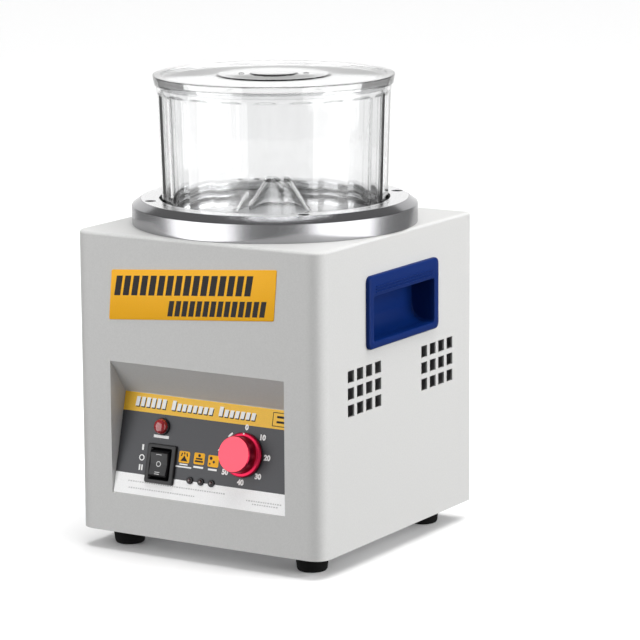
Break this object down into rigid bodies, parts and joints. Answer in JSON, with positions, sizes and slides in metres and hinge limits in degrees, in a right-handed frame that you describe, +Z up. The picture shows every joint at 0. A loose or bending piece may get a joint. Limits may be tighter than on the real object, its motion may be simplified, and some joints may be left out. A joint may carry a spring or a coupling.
{
  "type": "magnetic tumbler",
  "caption": "Bench-top magnetic finishing tumbler: square sheet steel housing with a clear faceted bowl and lid on an aluminium collar, a recessed control panel and side grips.",
  "frame": {"origin": "on the floor under the centre of the object, on the bowl's axis", "axes": "+Z up along the bowl's axis, -Y towards the control panel, +X to the right hand side seen from the front"},
  "size_m": [0.2484, 0.2607, 0.3942],
  "materials": {
    "bare_steel": "zinc plated steel",
    "black_plastic": "moulded black",
    "black_rubber": "matt",
    "black_screw": "black oxide",
    "blue_plastic": "moulded, fine texture",
    "brass": "plated brass",
    "bronze": "sintered bronze",
    "clear_plastic": "clear moulded plastic",
    "copper": "enamelled copper",
    "grey_paint": "fine textured light warm grey paint",
    "grey_plastic": "moulded grey",
    "laminations": "stacked steel sheet",
    "lead_sleeve": "insulated wire",
    "magnet_nickel": "nickel plated",
    "overlay_print": "printed film: yellow strip, dark field, white band",
    "red_anodised": "red metallic finish",
    "red_lens": "translucent red lens",
    "smoked_lens": "unlit lens",
    "steel_shaft": "ground",
    "turned_aluminium": "turned, satin",
    "yellow_print": "printed yellow label with black bars"
  },
  "bodies": {
    "housing": {"housing_shell": "grey_paint", "rear_panel": "grey_paint", "rear_screws": "bare_steel", "base_plate": "bare_steel", "base_screws": "bare_steel", "feet": "black_rubber", "foot_screws": "bare_steel", "panel_recess": "grey_paint", "panel_overlay": "overlay_print", "nameplate": "yellow_print", "lamp_bezel": "black_plastic", "lamp_lens": "red_lens", "switch_frame": "black_plastic", "status_bezels": "black_plastic", "status_lenses": "smoked_lens", "timer_body": "grey_plastic", "timer_nut": "bare_steel", "grip_right": "blue_plastic", "grip_left": "blue_plastic", "collar_ring": "turned_aluminium", "collar_screws": "black_screw", "collar_nuts": "bare_steel", "deck_seat_ring": "turned_aluminium", "deck_plate": "bare_steel", "deck_gasket": "black_rubber", "motor_can": "bare_steel", "motor_top_cap": "turned_aluminium", "motor_base_cap": "turned_aluminium", "upper_bearing": "bronze", "lower_bearing": "bronze", "stator_core": "laminations", "stator_windings": "copper", "motor_bracket": "bare_steel", "motor_screws": "bare_steel", "vibration_bushes": "black_rubber", "bracket_posts": "bare_steel", "bracket_screws": "bare_steel", "run_capacitor": "black_plastic", "capacitor_clip": "bare_steel", "terminal_block": "grey_plastic", "power_inlet": "black_plastic", "inlet_blades": "brass", "inlet_screws": "bare_steel", "fuse_holder": "black_plastic", "inner_leads": "lead_sleeve"},
    "rotor": {"motor_shaft": "steel_shaft", "rotor_core": "laminations", "cooling_fan": "grey_plastic", "magnet_disc": "turned_aluminium", "disc_magnets": "magnet_nickel", "disc_hub": "turned_aluminium", "hub_setscrew": "black_screw"},
    "bowl": {"bowl": "clear_plastic"},
    "lid": {"lid": "clear_plastic"},
    "timer_control": {"timer_knob": "red_anodised", "timer_shaft": "steel_shaft", "knob_setscrew": "black_screw"},
    "power_rocker": {"switch_rocker": "black_plastic"},
    "fuse_cap": {"fuse_cap": "black_plastic"}
  },
  "joints": [
    {"name": "rotor_spin", "type": "hinge", "parent": "housing", "child": "rotor", "pos_m": [0, 0, 0.25], "axis": [0, 0, 1], "continuous": true},
    {"name": "bowl_lift", "type": "slide", "parent": "housing", "child": "bowl", "axis": [0, 0, 1], "range_m": [0, 0.08]},
    {"name": "lid_lift", "type": "slide", "parent": "bowl", "child": "lid", "axis": [0, 0, 1], "range_m": [0, 0.06]},
    {"name": "timer_turn", "type": "hinge", "parent": "housing", "child": "timer_control", "pos_m": [0.0385, -0.11141, 0.09387], "axis": [0, 0.9706, -0.2409], "range_deg": [0, 315]},
    {"name": "rocker_tilt", "type": "hinge", "parent": "housing", "child": "power_rocker", "pos_m": [-0.0402, -0.11396, 0.0774], "axis": [1, 0, 0], "range_deg": [-12, 12]},
    {"name": "fuse_cap_pull", "type": "slide", "parent": "housing", "child": "fuse_cap", "axis": [0, 1, 0], "range_m": [0, 0.02]}
  ]
}
